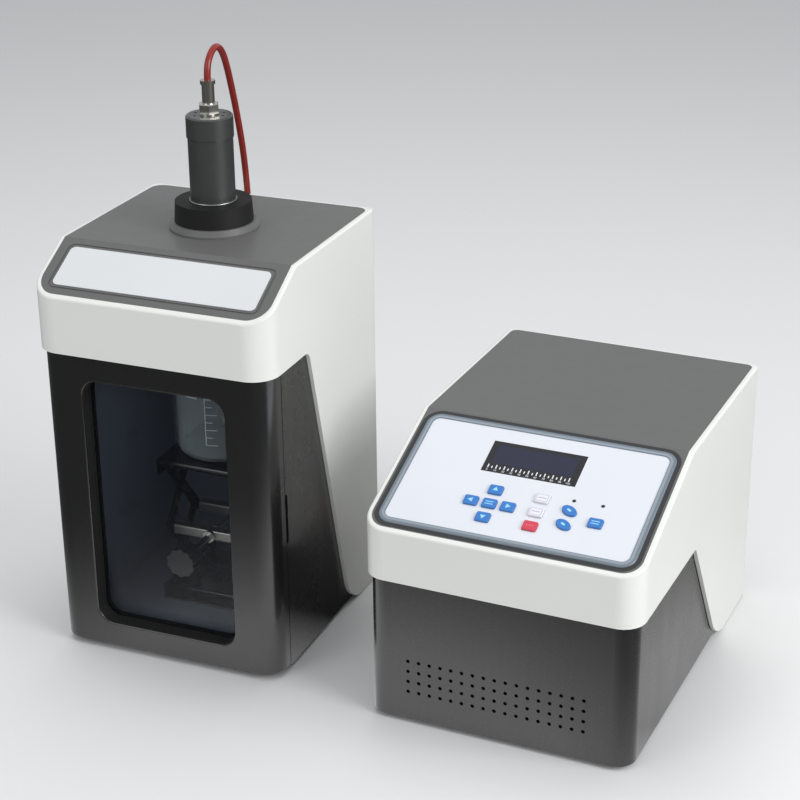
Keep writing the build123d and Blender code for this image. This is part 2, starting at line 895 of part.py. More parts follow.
def jack_arms():
    at = jack_points()
    outer, inner = bar_layers()
    outside = outer + arm_thickness
    stub = cross_bar_half() - stub_depth
    crossing_low = midpoint(at["base_front"], at["mid_rear"])
    crossing_high = midpoint(at["mid_front"], at["top_rear"])
    lower_rising = arm_pair(at["base_front"], at["mid_rear"], "outer", at["base_front"],
                            [(at["mid_rear"], stub, outside), (crossing_low, inner, outside)], [])
    lower_falling = arm_pair(at["base_rear"], at["mid_front"], "inner", at["base_rear"],
                             [(at["mid_front"], stub, outside + 1)], [crossing_low])
    upper_rising = arm_pair(at["mid_front"], at["top_rear"], "outer", at["top_rear"],
                            [], [at["mid_front"], crossing_high])
    upper_falling = arm_pair(at["mid_rear"], at["top_front"], "inner", at["top_front"],
                             [(crossing_high, inner, outside)], [at["mid_rear"]])
    return {"lower_arms_rising": lower_rising, "lower_arms_falling": lower_falling,
            "upper_arms_rising": upper_rising, "upper_arms_falling": upper_falling}


def cross_block(point, screw_bore):
    y, z = point
    half = cross_bar_half()
    bar = Pos(0, y, z) * Box(2 * half, cross_bar, cross_bar)
    bar = fillet(bar.edges().filter_by(Axis.X), 2.0)
    bar -= rod(half - stub_depth - 0.3, half + 1, y, z, rod_radius + pivot_clearance)
    bar -= rod(-half - 1, -half + stub_depth + 0.3, y, z, rod_radius + pivot_clearance)
    return bar - Pos(0, y, z) * Rot(90, 0, 0) * Cylinder(screw_bore, 2 * cross_bar)


def jack_screw():
    y, z = jack_points()["mid_front"]
    longest = arm_length * cos(radians(arm_low_angle))
    start = knob_front_y + 4
    end = y + longest + screw_tail
    screw = along_y(screw_radius, start, end, z)
    face = y + cross_bar / 2 + collar_play
    screw += along_y(screw_collar_radius, face, face + screw_collar, z)
    face = y - cross_bar / 2 - collar_play
    screw += along_y(screw_collar_radius, face - screw_collar, face, z)
    return screw


def along_y(radius, start, end, z):
    return Pos(0, (start + end) / 2, z) * Rot(90, 0, 0) * Cylinder(radius, end - start)


def jack_knob():
    z = jack_points()["mid_front"][1]
    outline = Circle(knob_radius)
    for place in PolarLocations(knob_radius + knob_flute_radius * 0.62, knob_flutes):
        outline -= place * Circle(knob_flute_radius)
    knob = extrude(outline, knob_length)
    knob = fillet(knob.faces().sort_by(Axis.Z)[-1].edges(), 1.0)
    knob += cylinder(knob_skirt_radius, 8, -8)
    knob -= cylinder(screw_radius + fit_clearance, knob_length + 4, -8)
    rear_y = knob_front_y + knob_length
    return Pos(0, rear_y, z) * Rot(90, 0, 0) * knob


def sample_beaker():
    base = platform_top_z()
    outer = cylinder(beaker_radius, beaker_height)
    outer = fillet(outer.edges().group_by(Axis.Z)[0], beaker_corner)
    rim = cylinder(beaker_radius + beaker_rim, beaker_rim, beaker_height - beaker_rim)
    outer += fillet(rim.edges(), beaker_rim * 0.45)
    spout_at = beaker_radius - spout_radius + spout_reach
    spout_low = beaker_height - 2 * spout_radius
    bulge = loft([Pos(spout_at - spout_reach, 0, spout_low) * Circle(spout_radius * 0.6),
                  Pos(spout_at, 0, beaker_height) * Circle(spout_radius)])
    outer += Rot(0, 0, 200) * bulge
    inner = cylinder(beaker_radius - beaker_wall, beaker_height, beaker_wall * 1.4)
    inner = fillet(inner.edges().group_by(Axis.Z)[0], beaker_corner - beaker_wall)
    hollow = loft([Pos(spout_at - spout_reach, 0, spout_low)
                   * Circle(spout_radius * 0.6 - beaker_wall),
                   Pos(spout_at, 0, beaker_height + 1) * Circle(spout_radius - beaker_wall)])
    glass = outer - inner - Rot(0, 0, 200) * hollow
    return Pos(beaker_x, beaker_y, base) * glass


# Control panel pieces are drawn flat on the incline: x across, y up the slope, z out of it
def key_places():
    # name, x, distance down the incline, outline
    across, down = key_column_pitch, key_row_pitch
    mid = arrow_from_break
    return [
        ("key_up", arrow_x, mid - down, "square"),
        ("key_left", arrow_x - across, mid, "square"),
        ("key_middle", arrow_x, mid, "square"),
        ("key_right", arrow_x + across, mid, "square"),
        ("key_down", arrow_x, mid + down, "square"),
        ("key_upper_pale", function_x, mid - down, "square"),
        ("key_lower_pale", function_x, mid, "square"),
        ("key_red", function_x, mid + down, "square"),
        ("key_upper_oval", oval_x, oval_from_break, "oval"),
        ("key_lower_oval", oval_x, oval_from_break + down, "oval"),
        ("key_far_right", right_key_x, mid, "square"),
    ]


def key_outline(shape, grow):
    if shape == "oval":
        return Rot(0, 0, oval_turn) * Ellipse(oval_width / 2 + grow, oval_height / 2 + grow)
    return RectangleRounded(key_width + 2 * grow, key_height + 2 * grow, key_round + max(grow, 0))


def flat_key(shape):
    under = -inlay_thickness - key_flange_gap
    top = panel_thickness + key_rise
    cap = extrude(key_outline(shape, 0), top - under)
    cap = Pos(0, 0, under) * fillet(cap.edges().group_by(Axis.Z)[-1], 0.7)
    lap = extrude(key_outline(shape, key_flange_lap), key_flange)
    stem_low = -board_depth + switch_size / 3 + switch_gap
    stem = cylinder(key_stem_radius, under - stem_low, stem_low)
    return cap + Pos(0, 0, under - key_flange) * lap + stem


def on_panel(solid, x, down, out=0.0):
    return generator.incline() * Pos(x, -down, out) * solid


def panel_keys():
    return {name: on_panel(flat_key(shape), x, down) for name, x, down, shape in key_places()}


def cut_keys(plate, low, high):
    # the key holes and the display window through a plate that lies on the incline
    for name, x, down, shape in key_places():
        hole = extrude(key_outline(shape, key_clearance), high - low)
        plate -= on_panel(hole, x, down, low)
    for x in (oval_x, right_key_x):
        plate -= on_panel(cylinder(led_radius + 0.1, high - low), x, led_from_break, low)
    window = block(0, 0, 0, display_width + 0.2, display_height + 0.2, high - low)
    return plate - on_panel(window, display_x, display_from_break, low)


def hood_of_generator():
    hood = moulded_hood(generator, generator_notch_y, generator_notch_slope,
                        generator_notch_round, generator_heel_round,
                        (generator_inlay_front_round, generator_inlay_rear_round))
    room = rounded_bar(panel_width - 10, panel_height - 12, 6, 30)
    return hood - on_panel(room, 0, panel_from_break, -20)


def top_panel_of_generator():
    panel = inlay_panel(generator, (generator_inlay_front_round, generator_inlay_rear_round))
    posts = board_posts()
    for x in posts[0]:
        for down in posts[1]:
            post = cylinder(3.5, board_depth - inlay_thickness + 0.5, -board_depth)
            panel += on_panel(post, x, down)
    return cut_keys(panel, -inlay_thickness - 1, 1)


def board_posts():
    xs = (-panel_width / 2 + 16, panel_width / 2 - 16)
    downs = (panel_from_break - panel_height / 2 + 16, panel_from_break + panel_height / 2 - 16)
    return xs, downs


def control_panel():
    plate = rounded_bar(panel_width, panel_height, panel_round, panel_thickness)
    return cut_keys(on_panel(plate, 0, panel_from_break), -1, 3)


def panel_border():
    wide = panel_width + 2 * border_width
    tall = panel_height + 2 * border_width
    ring = rounded_bar(wide, tall, panel_round + border_width, border_height)
    ring = chamfer(ring.faces().sort_by(Axis.Z)[-1].edges(), 0.8)
    ring -= rounded_bar(panel_width + 0.1, panel_height + 0.1, panel_round, border_height + 1)
    return on_panel(ring, 0, panel_from_break)


def display_module():
    glass = block(0, 0, -inlay_thickness, display_width, display_height,
                  inlay_thickness + panel_thickness - 0.2)
    case = block(0, 0, -board_depth, display_width + 2 * display_frame,
                 display_height + 2 * display_frame, board_depth - inlay_thickness)
    return on_panel(glass + case, display_x, display_from_break)


def indicator_lamps():
    lamp = cylinder(led_radius, board_depth + panel_thickness + led_rise, -board_depth)
    lamp = fillet(lamp.edges().group_by(Axis.Z)[-1], led_radius * 0.8)
    return [on_panel(lamp, x, led_from_break) for x in (oval_x, right_key_x)]


def key_board():
    width = panel_width - 2 * board_margin
    height = panel_height - 2 * board_margin
    board = block(0, 0, -board_depth - board_thickness, width, height, board_thickness)
    board = on_panel(board, 0, panel_from_break)
    switch = block(0, 0, -board_depth, switch_size, switch_size, switch_size / 3)
    for name, x, down, shape in key_places():
        board += on_panel(switch, x, down)
    return board


def chassis():
    half = generator.width / 2 - chassis_step
    rear = generator.depth - hood_wall - chassis_wall
    outline = Pos(0, (chassis_step + rear) / 2) * Rectangle(2 * half, rear - chassis_step)
    outline = fillet(outline.vertices().group_by(Axis.Y)[0],
                     generator.front_round - chassis_step)
    body = Pos(0, 0, chassis_low_z) * extrude(outline, chassis_top_z - chassis_low_z)
    inner = Pos(0, (chassis_step + rear) / 2) * Rectangle(2 * half - 2 * chassis_wall,
                                                         rear - chassis_step - 2 * chassis_wall)
    inner = fillet(inner.vertices().group_by(Axis.Y)[0],
                   generator.front_round - chassis_step - chassis_wall)
    body -= Pos(0, 0, chassis_low_z + chassis_wall) * extrude(inner, chassis_top_z)
    body -= span((-half + chassis_wall, rear - 2 * chassis_wall, chassis_low_z + chassis_wall),
                 (half - chassis_wall, rear + 1, chassis_top_z + 1))
    hole = Rot(90, 0, 0) * Cylinder(vent_radius, 4 * chassis_wall)
    middle_z = vent_low_z + (vent_rows - 1) * vent_pitch / 2
    holes = [Pos(vent_x + place.position.X, chassis_step, middle_z + place.position.Y) * hole
             for place in GridLocations(vent_pitch, vent_pitch, vent_columns, vent_rows)]
    return body - holes


def rear_panel_y():
    return generator.depth - hood_wall


def rear_panel():
    half = generator.width / 2 - generator.rear_round
    rear = rear_panel_y()
    top = generator.height - inlay_thickness - hood_wall - skin_clearance
    panel = span((-half, rear - chassis_wall, chassis_low_z), (half, rear, top))
    panel -= grille_slots()
    hole = Box(inlet_width - 2 * inlet_body_step + 0.4, inlet_height - 2 * inlet_body_step + 0.4, 10)
    panel -= along(rear, inlet_x, inlet_z, hole)
    return panel - along(rear, output_x, output_z,
                         Cylinder(socket_tail_radius + socket_hole_clearance, 10))


def along(y, x, z, solid):
    # puts a solid drawn on the ground plane onto the rear panel, its z pointing rearwards
    return Plane(origin=(x, y, z), x_dir=(-1, 0, 0), z_dir=(0, 1, 0)) * solid


def grille_slots():
    # concentric rings with two crossing ribs, in front of the fan
    step = (fan_bore - grille_hub) / grille_rings
    slots = []
    rib = Box(2 * fan_bore, grille_rib, 20) + Box(grille_rib, 2 * fan_bore, 20)
    for number in range(grille_rings):
        inner = grille_hub + number * step + grille_bar / 2
        ring = Cylinder(inner + step - grille_bar, 10) - Cylinder(inner, 10) - rib
        slots.append(along(rear_panel_y(), fan_x, fan_z, ring))
    return slots


def fan_face_y():
    return rear_panel_y() - chassis_wall


def cooling_fan():
    frame = block(0, 0, 0, fan_size, fan_size, fan_depth)
    frame = fillet(frame.edges().filter_by(Axis.Z), 4)
    frame -= cylinder(fan_bore, fan_depth)
    frame += cylinder(fan_hub_radius, 3, fan_depth - 3)
    for angle in (0, 120, 240):
        frame += Rot(0, 0, angle) * span((fan_hub_radius - 1, -2, fan_depth - 3),
                                         (fan_bore + 0.5, 2, fan_depth))
    frame += cylinder(fan_shaft_radius, fan_depth - 4, 4)
    return Plane(origin=(fan_x, fan_face_y(), fan_z), x_dir=(1, 0, 0), z_dir=(0, -1, 0)) * frame


def fan_rotor():
    height = fan_depth - 3 - fan_gap - 1
    rotor = cylinder(fan_hub_radius, height)
    root = Plane.XZ.offset(-fan_hub_radius + 1) * Pos(0, height / 2) * Rot(0, 0, 38)
    tip = Plane.XZ.offset(-fan_blade_radius) * Pos(0, height / 2) * Rot(0, 0, 55)
    blade = loft([root * Rectangle(1.6, height - 3), tip * Rectangle(1.6, height - 3)])
    for number in range(fan_blades):
        rotor += Rot(0, 0, number * 360 / fan_blades) * blade
    rotor &= cylinder(fan_blade_radius, height)
    rotor -= cylinder(fan_shaft_radius + fit_clearance, height + 1, 3)
    front = Plane(origin=(fan_x, fan_face_y() - 1, fan_z), x_dir=(1, 0, 0), z_dir=(0, -1, 0))
    return front * rotor


def mains_inlet():
    # one snap-in module: flange, pin cavity below, fuse drawer, rocker well above
    flange = rounded_bar(inlet_width, inlet_height, 2, inlet_flange)
    body = block(0, 0, -inlet_depth, inlet_width - 2 * inlet_body_step,
                 inlet_height - 2 * inlet_body_step, inlet_depth)
    module = flange + body
    room = rounded_bar(cavity_width, cavity_height, 3, cavity_depth + 1)
    module -= Pos(0, cavity_z, inlet_flange - cavity_depth) * room
    pin = block(0, 0, inlet_flange - cavity_depth - 1, pin_width, pin_height, pin_length)
    for x, y in ((-pin_pitch, -pin_drop), (0, pin_drop), (pin_pitch, -pin_drop)):
        module += Pos(x, cavity_z + y) * pin
    drawer = rounded_bar(drawer_width, drawer_height, 1, drawer_rise)
    module += Pos(0, fuse_z, inlet_flange) * drawer
    well = block(0, rocker_z, inlet_flange - 14, rocker_width, rocker_height + 4, 15)
    return along(rear_panel_y(), inlet_x, inlet_z, module - well)


def rocker_axis():
    # across the panel, just under the flange's face
    return (inlet_x, rear_panel_y() + inlet_flange - 4, inlet_z + rocker_z)


def power_rocker():
    wide = rocker_width - 2 * rocker_clearance
    half = rocker_height / 2
    lean = tan(radians(rocker_tilt))
    outline = [(-half, -1), (-half, 5 + half * lean), (0, 5), (half, 5 + half * lean), (half, -1),
               (0, -5)]
    profile = Plane.YZ * Polygon(*outline, align=None)
    rocker = extrude(profile, wide / 2, both=True)
    rocker = Rot(rocker_tilt, 0, 0) * rocker
    rocker += Rot(0, 90, 0) * Cylinder(1.5, rocker_width)
    x, y, z = rocker_axis()
    return along(y, x, z, rocker)


def transformer():
    ring = revolved([(transformer_bore, 0), (transformer_radius, 0),
                     (transformer_radius, transformer_height),
                     (transformer_bore, transformer_height)])
    ring = fillet(ring.edges().filter_by(GeomType.CIRCLE), 8)
    clamp = cylinder(transformer_bore + 9, 3, transformer_height) + cylinder(4, transformer_height)
    return Pos(transformer_x, transformer_y, chassis_low_z + chassis_wall) * (ring + clamp)


def cable_route():
    # centre line of the cable between the two plugs' ends
    start = Vector(0, converter_y, cap_low_z() + cap_height + plug_length)
    end = generator_place() * Pos(output_x, rear_panel_y() + plug_length, output_z)
    return [start] + [Vector(*point) for point in cable_points] + [end.position]


def cable_radii(points):
    radii = []
    for before, here, after in zip(points, points[1:], points[2:]):
        turn = radians((here - before).get_angle(after - here))
        run = min((here - before).length, (after - here).length)
        radii.append(0.45 * run / tan(turn / 2))
    return radii


def output_cable():
    points = cable_route()
    radii = cable_radii(points)
    line = FilletPolyline(*points, radius=radii)
    tube = sweep(Plane(origin=line @ 0, z_dir=line % 0) * Circle(cable_diameter / 2), path=line)
    section = pi * (cable_diameter / 2) ** 2
    print("cable length", round(line.length, 1), "smallest radius", round(min(radii), 1),
          "volume share", round(tube.volume / (section * line.length), 4))
    print("cable radii", [round(radius) for radius in radii])
    return tube


def generator_place():
    return Pos(generator_x, generator_front_y, 0) * Rot(0, 0, generator_turn)


def converter_end():
    return Pos(0, converter_y, cap_low_z() + cap_height)


def generator_end():
    plane = Plane(origin=(output_x, rear_panel_y(), output_z), x_dir=(-1, 0, 0), z_dir=(0, 1, 0))
    return generator_place() * Location(plane)


def all_feet():
    # the cabinet's front feet stand further in, under the sill
    half = cabinet.width / 2
    cabinet_feet = feet([(-half + sill_foot_inset, foot_front_y), (half - sill_foot_inset, foot_front_y),
                         (-half + foot_inset, cabinet.depth - foot_front_y),
                         (half - foot_inset, cabinet.depth - foot_front_y)], foot_height)
    half = generator.width / 2 - foot_inset
    near, far = 1.5 * foot_front_y, generator.depth - 1.5 * foot_front_y
    others = feet([(-half, near), (half, near), (-half, far), (half, far)], chassis_low_z)
    return cabinet_feet + [generator_place() * foot for foot in others]


def build():
    there = generator_place()
    nodes = {
        "cabinet_hood": hood_of_cabinet(),
        "cabinet_top_panel": top_panel_of_cabinet(),
        "nameplate": nameplate(),
        "cabinet_shell": shell_of_cabinet(),
        "chamber_liner": chamber_liner(),
        "rubber_feet": all_feet(),
        "hinge_bracket": hinge_bracket(),
        "door_frame": door_frame(),
        "door_window": door_window(),
        "window_gasket": window_gasket(),
        "converter_collar": converter_collar(),
        "converter_housing": converter_housing(),
        "converter_cap": converter_cap(),
        "front_mass": front_mass(),
        "piezo_stack": piezo_stack(),
        "back_mass": back_mass(),
        "preload_bolt": preload_bolt(),
        "horn": horn(),
        "horn_tip": horn_tip(),
        "panel_sockets": [converter_end() * socket(), generator_end() * socket()],
        "cable_plugs": [converter_end() * plug(), generator_end() * plug()],
        "converter_plug_nut": converter_end() * plug_nut(),
        "generator_plug_nut": generator_end() * plug_nut(),
        "output_cable": output_cable(),
        "jack_base": jack_base(),
        "jack_platform": jack_platform(),
        "jack_thrust_bar": cross_block(jack_points()["mid_front"],
                                       screw_radius + screw_clearance),
        "jack_nut_bar": cross_block(jack_points()["mid_rear"], screw_radius + screw_clearance),
        "jack_screw": jack_screw(),
        "jack_knob": jack_knob(),
        "sample_beaker": sample_beaker(),
        "generator_hood": there * hood_of_generator(),
        "generator_top_panel": there * top_panel_of_generator(),
        "control_panel": there * control_panel(),
        "panel_border": there * panel_border(),
        "display_module": there * display_module(),
        "indicator_lamps": [there * lamp for lamp in indicator_lamps()],
        "key_board": there * key_board(),
        "generator_chassis": there * chassis(),
        "rear_panel": there * rear_panel(),
        "cooling_fan": there * cooling_fan(),
        "fan_rotor": there * fan_rotor(),
        "mains_inlet": there * mains_inlet(),
        "power_rocker": there * power_rocker(),
        "transformer": there * transformer(),
    }
    nodes.update(jack_arms())
    nodes.update({name: there * key for name, key in panel_keys().items()})
    return nodes


cord_nodes = ("output_cable", "cable_plugs", "converter_plug_nut", "generator_plug_nut")


def as_shape(item):
    solids = []
    for piece in item if isinstance(item, list) else [item]:
        solids += piece.solids()
    return solids[0] if len(solids) == 1 else Compound(children=solids)


def row_shift(nodes):
    # from the modelling frame to an origin under the middle of both units
    boxes = [nodes[name].bounding_box() for name in nodes if name not in cord_nodes]
    low_x, high_x = min(box.min.X for box in boxes), max(box.max.X for box in boxes)
    low_y, high_y = min(box.min.Y for box in boxes), max(box.max.Y for box in boxes)
    return Pos(-(low_x + high_x) / 2, -(low_y + high_y) / 2, -min(box.min.Z for box in boxes))


def main():
    os.makedirs("parts", exist_ok=True)
    nodes = {name: as_shape(item) for name, item in build().items()}
    shift = row_shift(nodes)
    print("shift", shift.position)
    for name, shape in nodes.items():
        export_step(shift * shape, os.path.join("parts", name + ".step"))


if __name__ == "__main__":
    main()
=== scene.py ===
from math import cos, pi, radians, sin

import bmesh
import bpy
from mathutils import Matrix, Vector


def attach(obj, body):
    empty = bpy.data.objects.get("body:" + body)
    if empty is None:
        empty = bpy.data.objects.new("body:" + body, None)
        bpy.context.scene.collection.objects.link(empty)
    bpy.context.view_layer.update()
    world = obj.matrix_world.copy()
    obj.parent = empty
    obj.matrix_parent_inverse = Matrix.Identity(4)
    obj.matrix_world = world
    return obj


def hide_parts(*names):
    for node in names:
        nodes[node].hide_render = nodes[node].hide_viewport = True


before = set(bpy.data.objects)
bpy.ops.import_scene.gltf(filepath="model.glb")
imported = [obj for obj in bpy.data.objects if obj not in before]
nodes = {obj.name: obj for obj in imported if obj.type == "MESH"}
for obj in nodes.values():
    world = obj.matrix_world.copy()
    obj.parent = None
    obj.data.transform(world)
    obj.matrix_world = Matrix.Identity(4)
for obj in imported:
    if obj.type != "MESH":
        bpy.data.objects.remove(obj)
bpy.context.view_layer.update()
mm = 0.001
modelShift = Vector((-199.700, -177.734, 0.0))  # from the part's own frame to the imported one, mm
print("frame loaded", len(nodes), "nodes")

# camera
cameraView = {
    "place": (714.02, -1741.17, 1071.11),
    "right": (0.92625, 0.37679, -0.00982),
    "ahead": (-0.34975, 0.84948, -0.39505),
    "lens": 88.27, "sensor": 36.0, "clip": (0.05, 60.0),
}


def placeCamera():
    ahead = Vector(cameraView["ahead"]).normalized()
    up = Vector(cameraView["right"]).cross(ahead).normalized()
    right = ahead.cross(up)
    turn = Matrix((right, up, -ahead)).transposed().to_4x4()
    data = bpy.data.cameras.new("photoCamera")
    data.lens, data.sensor_width = cameraView["lens"], cameraView["sensor"]
    data.sensor_fit = "HORIZONTAL"
    data.clip_start, data.clip_end = cameraView["clip"]
    camera = bpy.data.objects.new("photoCamera", data)
    camera.matrix_world = Matrix.Translation(Vector(cameraView["place"]) * mm) @ turn
    bpy.context.scene.collection.objects.link(camera)
    bpy.context.scene.camera = camera


placeCamera()


# shader sheets
def linear(r, g, b):
    # display values from 0 to 255 as scene colour
    out = []
    for value in (r, g, b):
        v = value / 255
        out.append(v / 12.92 if v <= 0.04045 else ((v + 0.055) / 1.055) ** 2.4)
    return (*out, 1.0)


class Wire:
    # one socket of a material, used in plain arithmetic
    def __init__(self, sheet, out):
        self.sheet, self.out = sheet, out

    def maths(self, operation, *values):
        return self.sheet.add("ShaderNodeMath", {"operation": operation}, dict(enumerate(values)))

    def __add__(self, other):
        return self.maths("ADD", self, other)

    def __radd__(self, other):
        return self.maths("ADD", other, self)

    def __sub__(self, other):
        return self.maths("SUBTRACT", self, other)

    def __rsub__(self, other):
        return self.maths("SUBTRACT", other, self)

    def __mul__(self, other):
        return self.maths("MULTIPLY", self, other)

    def __rmul__(self, other):
        return self.maths("MULTIPLY", other, self)

    def __pow__(self, other):
        return self.maths("POWER", self, other)

    def __gt__(self, other):
        return self.maths("GREATER_THAN", self, other)


class Sheet:
    def __init__(self, name):
        self.material = bpy.data.materials.new(name)
        self.material.use_nodes = True
        self.tree = self.material.node_tree
        self.shader = self.tree.nodes["Principled BSDF"]

    def add(self, kind, settings=None, inputs=None, output=0):
        node = self.tree.nodes.new(kind)
        for name, value in (settings or {}).items():
            setattr(node, name, value)
        for name, value in (inputs or {}).items():
            self.feed(node.inputs[name], value)
        return Wire(self, node.outputs[output])

    def feed(self, socket, value):
        if isinstance(value, Wire):
            self.tree.links.new(value.out, socket)
        else:
            socket.default_value = value

    def set(self, values):
        for name, value in values.items():
            self.feed(self.shader.inputs[name], value)
        return self.material

    def place(self, stretch=(1.0, 1.0, 1.0)):
        spot = self.add("ShaderNodeTexCoord", output="Object")
        return self.add("ShaderNodeMapping", {}, {"Vector": spot, "Scale": stretch})

    def noise(self, scale, detail=3.0, stretch=(1.0, 1.0, 1.0)):
        return self.add("ShaderNodeTexNoise", {}, {"Vector": self.place(stretch), "Scale": scale,
                                                   "Detail": detail})

    def cells(self, scale):
        return self.add("ShaderNodeTexVoronoi", {"feature": "F1"},
                        {"Vector": self.place(), "Scale": scale})

    def blend(self, amount, first, second):
        # the colour sides of a Mix node, which share their names with its number sides
        mix = self.tree.nodes.new("ShaderNodeMix")
        mix.data_type = "RGBA"
        for socket, value in ((mix.inputs[0], amount), (mix.inputs[6], first),
                              (mix.inputs[7], second)):
            self.feed(socket, value)
        return Wire(self, mix.outputs[2])

    def bump(self, height, strength, distance):
        return self.add("ShaderNodeBump", {}, {"Height": height, "Strength": strength,
                                               "Distance": distance})


def shade(colour, factor):
    # the same colour, darker or brighter
    return tuple(min(1.0, c * factor) for c in colour[:3]) + (1.0,)


def mouldedPlastic(name, colour, rough, grainScale, grain, coat, vary=0.06):
    # fine mould grain, broad tone drift and rubbed patches
    sheet = Sheet(name)
    fine = sheet.noise(grainScale, 4.0)
    broad = sheet.noise(7.0, 3.0)
    rubbed = sheet.noise(60.0, 5.0, (1.0, 1.0, 0.35))
    tone = sheet.blend(broad, shade(colour, 1 - vary), shade(colour, 1 + vary))
    return sheet.set({
        "Base Color": sheet.blend(fine * 0.35, tone, shade(colour, 0.86)),
        "Roughness": rough + (fine - 0.5) * 0.10 + (rubbed - 0.5) * 0.12,
        "Coat Weight": coat,
        "Coat Roughness": 0.18,
        "Normal": sheet.bump(fine, grain, 0.0002),
    })


def paintedSteel(name, colour, rough, metal, fleck, coat):
    # semi gloss powder paint: orange peel, fine metal flecks and faint rubbed patches
    sheet = Sheet(name)
    peel = sheet.noise(420.0, 2.0)
    dots = sheet.cells(2600.0)
    spark = (dots > 0.62) * fleck
    broad = sheet.noise(5.0, 3.0)
    rubbed = sheet.noise(38.0, 6.0, (1.0, 1.0, 0.3))
    tone = sheet.blend(broad, shade(colour, 0.9), shade(colour, 1.12))
    return sheet.set({
        "Base Color": sheet.blend(spark, tone, shade(colour, 2.4)),
        "Metallic": metal,
        "Roughness": rough + (rubbed - 0.5) * 0.14 + (peel - 0.5) * 0.05,
        "Coat Weight": coat,
        "Coat Roughness": 0.12,
        "Normal": sheet.bump(peel, 0.07, 0.0002),
    })


def machinedMetal(name, colour, rough, stretch, scale=900.0, metal=1.0, wear=0.2):
    # brushed or turned: the stretch squeezes the noise along the tool's path
    sheet = Sheet(name)
    lines = sheet.noise(scale, 3.0, stretch)
    cloudy = sheet.noise(40.0, 4.0)
    tone = sheet.blend(lines, shade(colour, 1 - wear), shade(colour, 1 + wear * 0.6))
    return sheet.set({
        "Base Color": sheet.blend(cloudy * 0.4, tone, shade(colour, 0.82)),
        "Metallic": metal,
        "Roughness": rough + (lines - 0.5) * 0.16 + (cloudy - 0.5) * 0.08,
        "Normal": sheet.bump(lines, 0.12, 0.0001),
    })


def clearGlass(name, tint, low, high, power, rough=0.04, smudge=0.04):
    # thin see-through wall: denser where the surface turns away
    sheet = Sheet(name)
    facing = sheet.add("ShaderNodeLayerWeight", {}, {"Blend": 0.5}, "Facing")
    marks = sheet.noise(26.0, 5.0)
    body = low + (facing ** power) * (high - low) + (marks > 0.62) * smudge
    return sheet.set({
        "Base Color": sheet.blend(marks * 0.3, tint, shade(tint, 1.3)),
        "Roughness": rough + (marks - 0.5) * 0.05,
        "Alpha": body,
        "Coat Weight": 1.0,
        "Coat Roughness": 0.03,
    })


def openFoam(name, colour):
    # foam behind a matte skin: shallow pores and soft lumps
    sheet = Sheet(name)
    pores = sheet.cells(900.0)
    lumps = sheet.noise(30.0, 3.0)
    return sheet.set({
        "Base Color": sheet.blend(pores * 0.3 + lumps * 0.3, shade(colour, 0.8),
                                  shade(colour, 1.15)),
        "Roughness": 0.8 + (lumps - 0.5) * 0.1,
        "Normal": sheet.bump(pores, 0.12, 0.0003),
    })


def softRubber(name, colour):
    # dull rubber with a chalky bloom
    sheet = Sheet(name)
    skin = sheet.noise(900.0, 4.0)
    chalk = sheet.noise(45.0, 5.0)
    return sheet.set({
        "Base Color": sheet.blend(chalk * 0.4, colour, shade(colour, 1.9)),
        "Roughness": 0.62 + (skin - 0.5) * 0.15,
        "Normal": sheet.bump(skin, 0.22, 0.0002),
    })


def cableSkin(name, colour):
    # glossy jacket with a faint lengthways draw and paler scuffs
    sheet = Sheet(name)
    draw = sheet.noise(700.0, 3.0, (1.0, 1.0, 0.15))
    scuff = sheet.noise(120.0, 6.0)
    tone = sheet.blend(draw, shade(colour, 0.85), colour)
    return sheet.set({
        "Base Color": sheet.blend((scuff > 0.6) * 0.22, tone, shade(colour, 1.7)),
        "Roughness": 0.34 + (scuff - 0.5) * 0.2,
        "Coat Weight": 0.3,
        "Coat Roughness": 0.2,
        "Normal": sheet.bump(draw, 0.12, 0.0002),
    })


def filmPrint(name, colour, rough=0.32, coat=0.35):
    # printed polyester film: flat with a very fine pearl
    sheet = Sheet(name)
    pearl = sheet.noise(2400.0, 2.0)
    broad = sheet.noise(9.0, 2.0)
    shine = sheet.blend(pearl, colour, shade(colour, 1.05))
    return sheet.set({
        "Base Color": sheet.blend(broad, shade(colour, 0.96), shine),
        "Roughness": rough + (pearl - 0.5) * 0.12,
        "Coat Weight": coat,
        "Coat Roughness": 0.15,
        "Normal": sheet.bump(pearl, 0.05, 0.0001),
    })


